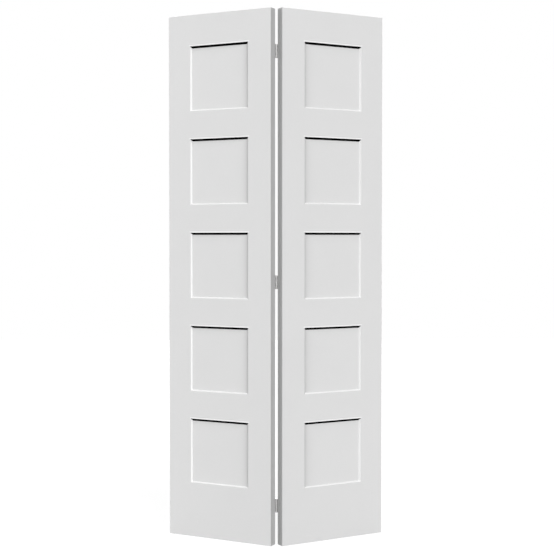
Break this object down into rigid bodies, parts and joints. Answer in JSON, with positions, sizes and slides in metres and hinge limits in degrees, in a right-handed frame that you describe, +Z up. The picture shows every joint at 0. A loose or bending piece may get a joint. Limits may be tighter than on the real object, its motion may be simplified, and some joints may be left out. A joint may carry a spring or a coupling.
{
  "type": "bifold closet door",
  "caption": "Pair of moulded hollow-core door leaves with square recessed panels, hinged on the closet side to fold back to back.",
  "frame": {"origin": "middle of the floor area that the standing V of the two leaves takes up", "axes": "+Z up, the front faces and the fold towards -Y, the pivot leaf to -X and the lead leaf to +X"},
  "size_m": [0.8272, 0.2396, 2.007],
  "materials": {
    "primed_skin": "factory primed white moulded fibreboard, satin",
    "primed_stile": "white primed pine with a faint grain",
    "bare_rail": "bare planed pine",
    "kraft_core": "unbleached kraft paper, expanded",
    "hinge_steel": "satin nickel plated pressed steel",
    "pin_steel": "turned steel",
    "screw_steel": "zinc plated cross-recess wood screw"
  },
  "bodies": {
    "pivot_leaf": {"bottom_hinge_pin": "pin_steel", "bottom_hinge_pivot_flap": "hinge_steel", "bottom_hinge_pivot_screws": "screw_steel", "middle_hinge_pin": "pin_steel", "middle_hinge_pivot_flap": "hinge_steel", "middle_hinge_pivot_screws": "screw_steel", "pivot_back_skin": "primed_skin", "pivot_bottom_rail": "bare_rail", "pivot_core": "kraft_core", "pivot_front_skin": "primed_skin", "pivot_hinge_stile": "primed_stile", "pivot_outer_stile": "primed_stile", "pivot_top_rail": "bare_rail", "top_hinge_pin": "pin_steel", "top_hinge_pivot_flap": "hinge_steel", "top_hinge_pivot_screws": "screw_steel"},
    "lead_leaf": {"bottom_hinge_lead_flap": "hinge_steel", "bottom_hinge_lead_screws": "screw_steel", "lead_back_skin": "primed_skin", "lead_bottom_rail": "bare_rail", "lead_core": "kraft_core", "lead_front_skin": "primed_skin", "lead_hinge_stile": "primed_stile", "lead_outer_stile": "primed_stile", "lead_top_rail": "bare_rail", "middle_hinge_lead_flap": "hinge_steel", "middle_hinge_lead_screws": "screw_steel", "top_hinge_lead_flap": "hinge_steel", "top_hinge_lead_screws": "screw_steel"}
  },
  "joints": [
    {"name": "leaf_fold", "type": "hinge", "parent": "pivot_leaf", "child": "lead_leaf", "pos_m": [0, -0.08519, 1], "axis": [0, 0, 1], "range_deg": [-56, 124]}
  ]
}
